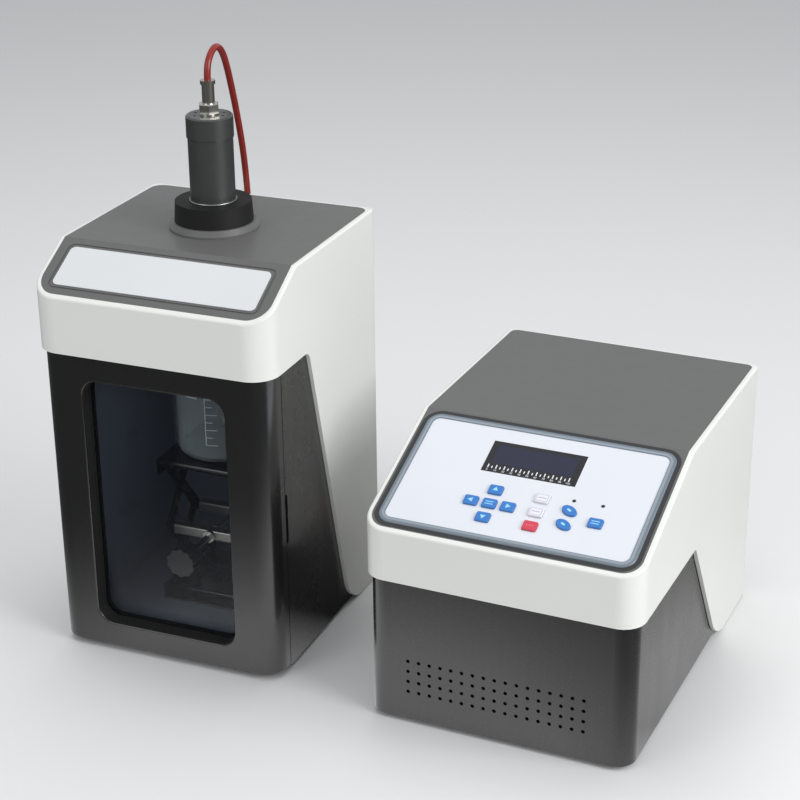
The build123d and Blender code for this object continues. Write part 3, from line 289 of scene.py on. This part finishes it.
# each finish: its maker, its colour from 0 to 255, and the maker's other values
finishRows = {
    "hoodWhite": (mouldedPlastic, (229, 230, 226), 0.36, 1500.0, 0.07, 0.25, 0.02),
    "inlayGrey": (mouldedPlastic, (98, 98, 97), 0.46, 2200.0, 0.18, 0.1, 0.05),
    "bodyDark": (paintedSteel, (66, 65, 65), 0.27, 0.8, 0.3, 0.5),
    "doorDark": (paintedSteel, (62, 62, 62), 0.25, 0.8, 0.25, 0.5),
    "nameplateFilm": (filmPrint, (214, 217, 219)),
    "linerFoam": (openFoam, (136, 148, 164)),
    "rubberBlack": (softRubber, (24, 24, 24)),
    "windowPane": (clearGlass, (30, 36, 44), 0.12, 0.9, 3.2),
    "beakerGlass": (clearGlass, (200, 216, 222), 0.16, 0.95, 2.0, 0.03, 0.03),
    "zincSteel": (machinedMetal, (196, 196, 192), 0.34, (1.0, 1.0, 0.1)),
    "plasticBlack": (mouldedPlastic, (27, 27, 28), 0.42, 1700.0, 0.18, 0.1, 0.15),
    "collarBlack": (mouldedPlastic, (5, 5, 4), 0.62, 1500.0, 0.06, 0.0, 0.1),
    # colour of a dark film that paints the shade around the plate border
    "grooveDark": (mouldedPlastic, (50, 52, 54), 0.42, 1500.0, 0.1, 0.1, 0.05),
    "borderPale": (filmPrint, (140, 151, 162), 0.4, 0.2),
    "knobBlack": (mouldedPlastic, (22, 22, 23), 0.3, 900.0, 0.08, 0.4, 0.12),
    "anodised": (machinedMetal, (112, 114, 112), 0.34, (0.02, 0.02, 1.0), 2600.0, 0.85),
    "turnedAluminium": (machinedMetal, (205, 206, 205), 0.3, (0.02, 0.02, 1.0)),
    "ceramic": (mouldedPlastic, (188, 178, 150), 0.6, 800.0, 0.2, 0.0, 0.1),
    "titanium": (machinedMetal, (176, 172, 165), 0.3, (0.02, 0.02, 1.0), 2200.0),
    "nickel": (machinedMetal, (214, 211, 202), 0.2, (1.0, 1.0, 1.0), 500.0, 1.0, 0.08),
    "screwSteel": (machinedMetal, (205, 205, 203), 0.22, (1.0, 0.1, 1.0), 1400.0),
    "jackMetal": (paintedSteel, (26, 28, 30), 0.22, 0.6, 0.2, 0.8),
    "armMetal": (machinedMetal, (60, 63, 67), 0.26, (1.0, 0.2, 0.2), 1100.0, 0.9, 0.3),
    "panelFilm": (filmPrint, (219, 222, 229)),
    "borderGrey": (filmPrint, (112, 122, 131), 0.4, 0.2),
    "displayBlack": (filmPrint, (12, 12, 14), 0.16, 0.9),
    "displayNavy": (filmPrint, (31, 34, 58), 0.2, 0.5),
    "printWhite": (filmPrint, (225, 228, 232)),
    "glassPrint": (filmPrint, (225, 230, 232), 0.5, 0.0),
    "lampDark": (mouldedPlastic, (14, 12, 12), 0.14, 900.0, 0.03, 0.7),
    "boardGreen": (mouldedPlastic, (28, 92, 52), 0.4, 500.0, 0.3, 0.3),
    "coreWound": (machinedMetal, (150, 92, 48), 0.4, (0.1, 0.1, 1.0), 900.0, 0.6),
    "keyBlue": (filmPrint, (44, 116, 192), 0.34, 0.5),
    "keyPale": (filmPrint, (226, 226, 236), 0.34, 0.5),
    "keyRed": (filmPrint, (206, 58, 80), 0.34, 0.5),
    "printSky": (filmPrint, (150, 212, 250)),
    "printGrey": (filmPrint, (148, 152, 170)),
    "printRose": (filmPrint, (232, 120, 136)),
    "cableRed": (cableSkin, (138, 32, 22)),
}
finishes = {name: maker(name, linear(*colour), *rest)
            for name, (maker, colour, *rest) in finishRows.items()}
nodeFinish = {
    "hoodWhite": ["cabinet_hood", "generator_hood"],
    "inlayGrey": ["cabinet_top_panel", "generator_top_panel"],
    "bodyDark": ["cabinet_shell", "generator_chassis", "rear_panel"],
    "doorDark": ["door_frame"],
    "nameplateFilm": ["nameplate"],
    "linerFoam": ["chamber_liner"],
    "rubberBlack": ["rubber_feet", "window_gasket"],
    "windowPane": ["door_window"],
    "beakerGlass": ["sample_beaker"],
    "zincSteel": ["hinge_bracket", "back_mass", "preload_bolt", "jack_thrust_bar",
                  "jack_nut_bar"],
    "collarBlack": ["converter_collar"],
    "plasticBlack": ["cooling_fan", "fan_rotor", "mains_inlet", "power_rocker"],
    "knobBlack": ["jack_knob"],
    "anodised": ["converter_housing", "converter_cap"],
    "turnedAluminium": ["front_mass"],
    "ceramic": ["piezo_stack"],
    "titanium": ["horn", "horn_tip"],
    "nickel": ["panel_sockets", "cable_plugs", "converter_plug_nut", "generator_plug_nut"],
    "screwSteel": ["jack_screw"],
    "jackMetal": ["jack_base", "jack_platform"],
    "armMetal": ["lower_arms_rising", "lower_arms_falling", "upper_arms_rising",
                 "upper_arms_falling"],
    "panelFilm": ["control_panel"],
    "borderGrey": ["panel_border"],
    "displayBlack": ["display_module"],
    "lampDark": ["indicator_lamps"],
    "boardGreen": ["key_board"],
    "coreWound": ["transformer"],
    "keyBlue": ["key_up", "key_left", "key_middle", "key_right", "key_down", "key_upper_oval",
                "key_lower_oval", "key_far_right"],
    "keyPale": ["key_upper_pale", "key_lower_pale"],
    "keyRed": ["key_red"],
}
for finishName, members in nodeFinish.items():
    for member in members:
        slots = nodes[member].data.materials
        slots.clear()
        slots.append(finishes[finishName])
print("finishes on nodes", sum(len(members) for members in nodeFinish.values()))


# piece helpers
tileSegments, ringSegments = 20, 32
spinStep = radians(3)
stripThick = 0.12
inkThick, inkLift = 0.05, 0.01  # a print's thickness, and the air between it and its ground


def addPiece(name, shape, finishName, body, smooth=False):
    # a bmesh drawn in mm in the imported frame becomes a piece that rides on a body
    bmesh.ops.remove_doubles(shape, verts=shape.verts, dist=0.0005)
    bmesh.ops.recalc_face_normals(shape, faces=shape.faces)
    bmesh.ops.scale(shape, vec=(mm, mm, mm), verts=shape.verts)
    mesh = bpy.data.meshes.new(name)
    shape.to_mesh(mesh)
    shape.free()
    mesh.materials.append(finishes[finishName])
    for face in mesh.polygons:
        face.use_smooth = smooth
    piece = bpy.data.objects.new(name, mesh)
    bpy.context.scene.collection.objects.link(piece)
    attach(piece, body)
    return piece


def quarteredCircle(shape, segments, corner, width, height):
    # a circle drawn apart by its quarters into a rounded rectangle
    made = bmesh.ops.create_circle(shape, cap_ends=True, segments=segments, radius=corner)["verts"]
    turn = Matrix.Rotation(pi / segments, 3, "Z")
    bmesh.ops.rotate(shape, cent=(0, 0, 0), matrix=turn, verts=made)
    for vert in made:
        vert.co.x += (width / 2 - corner) * (1 if vert.co.x > 0 else -1)
        vert.co.y += (height / 2 - corner) * (1 if vert.co.y > 0 else -1)


def liftTile(shape, faces, thick, local, place):
    # gives flat faces their thickness and sets all that is new in its place
    lifted = bmesh.ops.extrude_face_region(shape, geom=faces, use_keep_orig=True)["geom"]
    up = [item for item in lifted if isinstance(item, bmesh.types.BMVert)]
    bmesh.ops.translate(shape, vec=(0, 0, thick), verts=up)
    moveFresh(shape, place @ local)


def moveFresh(shape, matrix):
    fresh = [vert for vert in shape.verts if not vert.tag]
    bmesh.ops.transform(shape, matrix=matrix, verts=fresh)
    for item in list(shape.verts) + list(shape.faces):
        item.tag = True


def roundedTile(shape, width, height, thick, corner, at, place, low):
    # a thin tile with rounded corners
    quarteredCircle(shape, tileSegments, corner, width, height)
    faces = [face for face in shape.faces if not face.tag]
    liftTile(shape, faces, thick, Matrix.Translation((*at, low)), place)


def ringTile(shape, width, height, thick, corner, rim, place, low):
    # a ring with rounded corners, open in the middle
    quarteredCircle(shape, ringSegments, corner, width, height)
    face = next(face for face in shape.faces if not face.tag)
    ring = bmesh.ops.inset_region(shape, faces=[face], thickness=rim, use_boundary=True,
                                  use_even_offset=True)["faces"]
    bmesh.ops.delete(shape, geom=[face], context="FACES_ONLY")
    liftTile(shape, ring, thick, Matrix.Translation((0, 0, low)), place)


def roundTile(shape, sides, radius, thick, at, place, low, spin=0.0, stretch=(1.0, 1.0)):
    # a thin disc, or with few sides a triangle, turned and stretched in its own plane
    bmesh.ops.create_circle(shape, cap_ends=True, segments=sides, radius=radius)
    faces = [face for face in shape.faces if not face.tag]
    local = (Matrix.Translation((*at, low)) @ Matrix.Rotation(spin, 4, "Z")
             @ Matrix.Diagonal((*stretch, 1.0, 1.0)))
    liftTile(shape, faces, thick, local, place)


def spunStrip(shape, radius, low, high, start, sweep, place, thick=stripThick):
    # a strip that follows a round wall: an upright profile spun through an angle
    corners = [(radius, low), (radius + thick, low), (radius + thick, high), (radius, high)]
    made = [shape.verts.new((r * cos(start), r * sin(start), z)) for r, z in corners]
    face = shape.faces.new(made)
    steps = max(2, int(abs(sweep) / spinStep))
    bmesh.ops.spin(shape, geom=list(face.edges) + [face], cent=(0, 0, 0), axis=(0, 0, 1),
                   dvec=(0, 0, 0), angle=sweep, steps=steps, use_duplicate=False)
    moveFresh(shape, place)


generatorSpot = {"at": (374.39, -21.87, 0.0), "turn": radians(-2.26)}
inclineSpot = {"at": (0.0, 157.4, 276.2), "slope": 0.38432}
generatorPlace = (Matrix.Translation(Vector(generatorSpot["at"]) + modelShift)
                  @ Matrix.Rotation(generatorSpot["turn"], 4, "Z"))
# x runs across, y up the slope and z out of the incline
panelPlace = (generatorPlace @ Matrix.Translation(inclineSpot["at"])
              @ Matrix.Rotation(inclineSpot["slope"], 4, "X"))

# red cable
cableFacts = {
    "diameter": 7.0, "length": 1180.0, "order": 3, "steps": 8, "roundness": 5,
    "start": (0.0, 156.7, 590.0),
    "end": (401.4, 407.6, 70.0),
    "points": [
        (0.0, 156.8, 602.0), (-0.3, 163.5, 612.0), (-1.2, 175.0, 618.5), (-2.8, 189.0, 617.0),
        (-5.0, 202.5, 606.5), (-7.7, 215.0, 590.0), (-10.6, 228.0, 568.0), (-13.6, 241.0, 544.0),
        (-16.5, 254.5, 515.0), (-19.5, 267.5, 483.0), (-23.5, 280.5, 443.0), (-27.5, 291.0, 396.0),
        (-30.0, 299.0, 339.0), (-29.0, 303.0, 275.0), (-23.0, 304.0, 207.0), (-12.0, 302.5, 143.0),
        (3.0, 301.0, 86.0), (25.0, 302.0, 41.0), (62.0, 304.0, 11.0), (112.0, 309.0, 3.7),
        (164.0, 329.0, 3.7), (212.0, 364.0, 3.7), (256.0, 408.0, 3.7), (304.0, 445.0, 3.7),
        (352.0, 468.0, 6.0), (391.0, 473.0, 24.0), (409.0, 455.0, 50.0), (404.5, 430.0, 68.0),
    ],
}


def makeCable():
    line = bpy.data.curves.new("outputCableLine", "CURVE")
    line.dimensions = "3D"
    points = [cableFacts["start"]] + cableFacts["points"] + [cableFacts["end"]]
    spline = line.splines.new("NURBS")
    spline.points.add(len(points) - 1)
    for spot, point in zip(spline.points, points):
        spot.co = (*((Vector(point) + modelShift) * mm), 1.0)
    spline.order_u = cableFacts["order"]
    spline.use_endpoint_u = True
    spline.resolution_u = cableFacts["steps"]
    line.bevel_depth = cableFacts["diameter"] / 2 * mm
    line.bevel_resolution = cableFacts["roundness"]
    line.use_fill_caps = True
    line.materials.append(finishes["cableRed"])
    cable = bpy.data.objects.new("outputCable", line)
    bpy.context.scene.collection.objects.link(cable)
    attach(cable, "root")
    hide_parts("output_cable")


makeCable()
print("cable laid")

# display and key prints
displayLook = {
    "x": -3.8, "down": 51.5, "top": 0.6,
    "fieldWidth": 84.0, "fieldHeight": 25.0, "fieldUp": 3.6, "fieldThick": 0.06, "fieldRound": 1.0,
    "scaleX": -5.2, "scaleUp": -15.6, "tickPitch": 4.2, "tickCount": 21, "longTick": 5.0,
    "shortTick": 3.0, "tickWidth": 1.15, "tickRound": 0.25, "tickValue": 5,
    "digitSize": 3.2, "digitDrop": 3.3, "digitThick": 0.03,
}


def makeDisplay():
    d = displayLook
    field = bmesh.new()
    roundedTile(field, d["fieldWidth"], d["fieldHeight"], d["fieldThick"], d["fieldRound"],
                (d["x"], -d["down"] + d["fieldUp"]), panelPlace, d["top"] + inkLift)
    addPiece("displayField", field, "displayNavy", "root")
    ticks = bmesh.new()
    low = d["top"] + inkLift + d["fieldThick"]
    foot = -d["down"] + d["scaleUp"]
    middle = (d["tickCount"] - 1) / 2
    for number in range(d["tickCount"]):
        tall = d["longTick"] if number % 2 == 0 else d["shortTick"]
        x = d["scaleX"] + (number - middle) * d["tickPitch"]
        roundedTile(ticks, d["tickWidth"], tall, inkThick, d["tickRound"],
                    (x, foot + tall / 2), panelPlace, low)
    addPiece("displayTicks", ticks, "printWhite", "root")
    for number in range(0, d["tickCount"], 2):
        x = d["scaleX"] + (number - middle) * d["tickPitch"]
        addDigits("displayDigits%02d" % number, str(number * d["tickValue"]),
                  (x, foot - d["digitDrop"], low + d["digitThick"]))


def addDigits(name, text, spot):
    words = bpy.data.curves.new(name, "FONT")
    words.body, words.size = text, displayLook["digitSize"]
    words.extrude = displayLook["digitThick"]
    words.align_x = "CENTER"
    holder = bpy.data.objects.new(name, words)
    bpy.context.scene.collection.objects.link(holder)
    bpy.context.view_layer.update()
    mesh = bpy.data.meshes.new_from_object(holder.evaluated_get(
        bpy.context.evaluated_depsgraph_get()))
    bpy.data.objects.remove(holder)
    shape = bmesh.new()
    shape.from_mesh(mesh)
    bmesh.ops.transform(shape, matrix=panelPlace @ Matrix.Translation(spot), verts=shape.verts)
    addPiece(name, shape, "printWhite", "root")


keySpots = {  # key: x, distance down the incline, symbol, the symbol's turn in degrees
    "key_up": (-27.9, 94.8, "arrow", 90), "key_left": (-46.9, 112.9, "arrow", 180),
    "key_middle": (-27.9, 112.9, "bar", 0), "key_right": (-8.9, 112.9, "arrow", 0),
    "key_down": (-27.9, 131.0, "arrow", -90), "key_upper_pale": (20.2, 94.8, "frame", 0),
    "key_lower_pale": (20.2, 112.9, "frame", 0), "key_red": (20.2, 131.0, "dots", 0),
    "key_upper_oval": (50.4, 103.7, "oval", -28), "key_lower_oval": (50.4, 121.8, "oval", -28),
    "key_far_right": (79.4, 112.9, "bar", 0),
}
keyTop = 3.0
inks = {"arrow": "printSky", "bar": "printSky", "oval": "printSky", "frame": "printGrey",
        "dots": "printRose"}
barMarks = [(8.4, 1.0, 0.4, 0.0, 1.5), (8.4, 1.0, 0.4, 0.0, -1.5)]
frameMarks = [(8.2, 0.7, 0.3, 0.0, 0.0), (11.6, 0.35, 0.15, 0.0, 4.2),
              (11.6, 0.35, 0.15, 0.0, -4.2), (0.35, 8.2, 0.15, 5.7, 0.0),
              (0.35, 8.2, 0.15, -5.7, 0.0)]  # width, height, corner, across, up
arrowMark = {"sides": 3, "radius": 3.3, "lead": -90}
ovalMark = {"sides": 28, "radius": 1.6, "stretch": (1.7, 0.8)}
dotMark = {"sides": 14, "radius": 0.8, "steps": (-3.0, 0.0, 3.0)}


def makeKeyPrints():
    low = keyTop + inkLift
    for key, (x, down, symbol, turn) in keySpots.items():
        shape = bmesh.new()
        if symbol == "arrow":
            roundTile(shape, arrowMark["sides"], arrowMark["radius"], inkThick, (x, -down),
                      panelPlace, low, radians(turn + arrowMark["lead"]))
        elif symbol == "oval":
            roundTile(shape, ovalMark["sides"], ovalMark["radius"], inkThick, (x, -down),
                      panelPlace, low, radians(turn), ovalMark["stretch"])
        elif symbol == "dots":
            for step in dotMark["steps"]:
                roundTile(shape, dotMark["sides"], dotMark["radius"], inkThick,
                          (x + step, -down), panelPlace, low)
        else:
            for width, height, corner, across, up in (barMarks if symbol == "bar"
                                                      else frameMarks):
                roundedTile(shape, width, height, inkThick, corner, (x + across, -down + up),
                            panelPlace, low)
        addPiece(key + "_print", shape, inks[symbol], key + "_cap")


makeDisplay()
makeKeyPrints()
print("display and keys printed")

# beaker print
beakerPrint = {
    "x": -5.0, "y": 163.0, "base": 182.4, "radius": 50.0, "lift": 0.02,
    "firstLine": 22.0, "lineStep": 8.8, "lines": 10, "lineHeight": 0.7,
    "lineStart": radians(-84), "longLine": radians(15), "shortLine": radians(9),
    "spineSweep": radians(1.0), "labelLow": 74.0, "labelHigh": 95.0,
    "labelStart": radians(-115.0), "labelSweep": radians(21.0),
}


def makeBeakerPrint():
    b = beakerPrint
    place = Matrix.Translation(Vector((b["x"], b["y"], b["base"])) + modelShift)
    radius = b["radius"] + b["lift"]
    marks = bmesh.new()
    for number in range(b["lines"]):
        z = b["firstLine"] + number * b["lineStep"]
        sweep = b["longLine"] if number % 2 == 0 else b["shortLine"]
        spunStrip(marks, radius, z, z + b["lineHeight"], b["lineStart"], sweep, place)
    spineTop = b["firstLine"] + (b["lines"] - 1) * b["lineStep"] + b["lineHeight"]
    spunStrip(marks, radius, b["firstLine"], spineTop, b["lineStart"] - b["spineSweep"] / 2,
              b["spineSweep"], place)
    addPiece("beakerMarks", marks, "glassPrint", "platform")
    label = bmesh.new()
    spunStrip(label, radius, b["labelLow"], b["labelHigh"], b["labelStart"], b["labelSweep"],
              place)
    addPiece("beakerLabel", label, "glassPrint", "platform", True)


makeBeakerPrint()

# thin trim, with a dark film and a black lining that paint shade, and bright strips that paint edge
# highlights
panelTrim = {"width": 248.0, "height": 138.5, "down": 82.8, "round": 8.0}
# each ring: finish, slot, distance out to its rim, rim, thickness, height over the incline
ringTrim = {
    # the first ring is a dark film on the inlay that paints the shade around the plate border
    "borderPaintedShade": ("grooveDark", "inlay_grey", 11.1, 4.6, 0.12, 0.0),
    "borderPaleLine": ("borderPale", "border_blue_grey", 3.45, 2.6, 0.06, 1.4),
}
# the door recess walls get a thin black film that paints their shade
recessTrim = {"width": 161.0, "height": 276.8, "middle": 171.9, "round": 18.0, "front": 6.6,
              "rear": 17.4, "thick": 0.25, "air": 0.04}
# the edges are bright steel strips on the front edges of the platform and base: painted edge
# highlights
jackTrim = {"half": 56.0, "front": 104.3, "thick": 0.2, "air": 0.01,
            "edges": {"platformEdgeHighlight": ("platform", 180.3, 181.9), "baseEdgeHighlight": ("root", 14.0, 15.6)}}
lipTrim = {"y": 156.7, "low": 465.0, "radius": 24.22, "from": 0.15, "to": 1.35, "thick": 0.35}


def makeBorderRings():
    place = panelPlace @ Matrix.Translation((0, -panelTrim["down"], 0))
    for name, (finish, slotName, out, rim, thick, low) in ringTrim.items():
        shape = bmesh.new()
        ringTile(shape, panelTrim["width"] + 2 * out, panelTrim["height"] + 2 * out, thick,
                 panelTrim["round"] + out, rim, place, low + inkLift)
        addPiece(name, shape, finish, "root")


# a thin black film over the door recess walls: painted shade of the recess
def makeRecessShade():
    r = recessTrim
    shape = bmesh.new()
    place = (Matrix.Translation(Vector((0, r["rear"], r["middle"])) + modelShift)
             @ Matrix.Rotation(pi / 2, 4, "X"))
    ringTile(shape, r["width"] - r["air"], r["height"] - r["air"], r["rear"] - r["front"],
             r["round"], r["thick"], place, 0.0)
    addPiece("recessPaintedShade", shape, "rubberBlack", "door")


# bright steel strips along the platform and base front edges paint their edge highlights
def makeJackHighlights():
    j = jackTrim
    for name, (body, low, high) in j["edges"].items():
        shape = bmesh.new()
        bmesh.ops.create_cube(shape, size=1.0)
        bmesh.ops.scale(shape, vec=(2 * j["half"], j["thick"], high - low), verts=shape.verts)
        middle = Vector((0, j["front"] - j["thick"] / 2 - j["air"], (low + high) / 2))
        bmesh.ops.translate(shape, vec=middle + modelShift, verts=shape.verts)
        addPiece(name, shape, "screwSteel", body)


def makeConverterLip():
    shape = bmesh.new()
    place = Matrix.Translation(Vector((0, lipTrim["y"], lipTrim["low"])) + modelShift)
    spunStrip(shape, lipTrim["radius"], lipTrim["from"], lipTrim["to"], 0.0, 2 * pi, place,
              lipTrim["thick"])
    addPiece("converterLip", shape, "turnedAluminium", "root", True)


makeBorderRings()
makeRecessShade()
makeJackHighlights()
makeConverterLip()

# fasteners on the rear
rearScrews = {
    "face": 394.9, "sides": 24, "head": (3.1, 0.9), "crown": (2.232, 1.5),
    "spots": [(-122, 22), (122, 22), (-122, 120), (122, 120), (-122, 225), (122, 225),
              (-108, 84), (-36, 84), (-108, 156), (-36, 156)],
}


def makeRearScrews():
    shape = bmesh.new()
    for x, z in rearScrews["spots"]:
        place = (generatorPlace @ Matrix.Translation((x, rearScrews["face"], z))
                 @ Matrix.Rotation(-pi / 2, 4, "X"))
        for radius, height in (rearScrews["head"], rearScrews["crown"]):
            roundTile(shape, rearScrews["sides"], radius, height, (0, 0), place, 0.0)
    addPiece("rearScrews", shape, "zincSteel", "root")


makeRearScrews()
print("small pieces made")


# floor and light
floorLook = {
    "half": 9.0, "colour": linear(226, 226, 226), "mirrored": 0.08, "glow": 1.5, "rough": 0.85,
    "reach": (0.68, 2.8), "front": (-0.02, 5.0), "right": (0.2, 6.0), "rightShare": 0.6,
}  # reach, front and right: where the mirrored glow starts or ends in metres, and its steepness
worldLook = {"colour": (0.95, 0.97, 1.0, 1.0), "strength": 0.55}
softboxes = {  # place, aim, size in metres, watts, whether mirrors see it
    "sideSoftbox": ((2.3, -0.5, 1.5), (0.0, 0.0, 0.25), 1.6, 47.0, True),
    "topSoftbox": ((-0.5, 0.4, 2.6), (0.0, 0.0, 0.2), 1.9, 23.0, False),
    "frontSoftbox": ((-1.2, -2.3, 1.6), (0.0, 0.0, 0.2), 1.3, 10.0, True),
}


def makeFloor():
    shape = bmesh.new()
    bmesh.ops.create_grid(shape, x_segments=1, y_segments=1, size=floorLook["half"])
    mesh = bpy.data.meshes.new("paleFloor")
    shape.to_mesh(mesh)
    shape.free()
    floor = bpy.data.objects.new("paleFloor", mesh)
    bpy.context.scene.collection.objects.link(floor)
    sheet = Sheet("paleFloor")
    spot = sheet.add("ShaderNodeTexCoord", output="Object")
    away = sheet.add("ShaderNodeVectorMath", {"operation": "LENGTH"}, {0: spot}, "Value")
    x = sheet.add("ShaderNodeSeparateXYZ", {}, {0: spot}, "X")
    y = sheet.add("ShaderNodeSeparateXYZ", {}, {0: spot}, "Y")

    def fade(distance, steepness):
        return spot.maths("MINIMUM", spot.maths("MAXIMUM", distance * steepness, 0.0), 1.0)

    near = fade(floorLook["reach"][0] - away, floorLook["reach"][1])
    front = fade(floorLook["front"][0] - y, floorLook["front"][1])
    right = fade(x - floorLook["right"][0], floorLook["right"][1]) * floorLook["rightShare"]
    glossy = sheet.add("ShaderNodeLightPath", output="Is Glossy Ray")
    glow = glossy * near * near * spot.maths("MAXIMUM", front, right)
    pale = floorLook["colour"]
    # mirrors see a bright floor near the object that fades away
    mesh.materials.append(sheet.set({
        "Base Color": sheet.blend(glossy, pale, shade(pale, floorLook["mirrored"])),
        "Emission Color": sheet.blend(glow, (0.0, 0.0, 0.0, 1.0), pale),
        "Emission Strength": floorLook["glow"],
        "Roughness": floorLook["rough"],
    }))


def makeLights():
    world = bpy.data.worlds.new("studioWorld")
    bpy.context.scene.world = world
    world.use_nodes = True
    back = world.node_tree.nodes["Background"]
    back.inputs["Color"].default_value = worldLook["colour"]
    back.inputs["Strength"].default_value = worldLook["strength"]
    for name, (place, aim, size, power, mirrored) in softboxes.items():
        data = bpy.data.lights.new(name, "AREA")
        data.shape, data.size, data.energy = "SQUARE", size, power
        lamp = bpy.data.objects.new(name, data)
        lamp.visible_glossy = mirrored
        aimed = (Vector(aim) - Vector(place)).to_track_quat("-Z", "Y")
        lamp.matrix_world = Matrix.Translation(place) @ aimed.to_matrix().to_4x4()
        bpy.context.scene.collection.objects.link(lamp)


makeFloor()
makeLights()
bpy.context.scene.view_settings.view_transform = "Standard"
print("floor and light set")
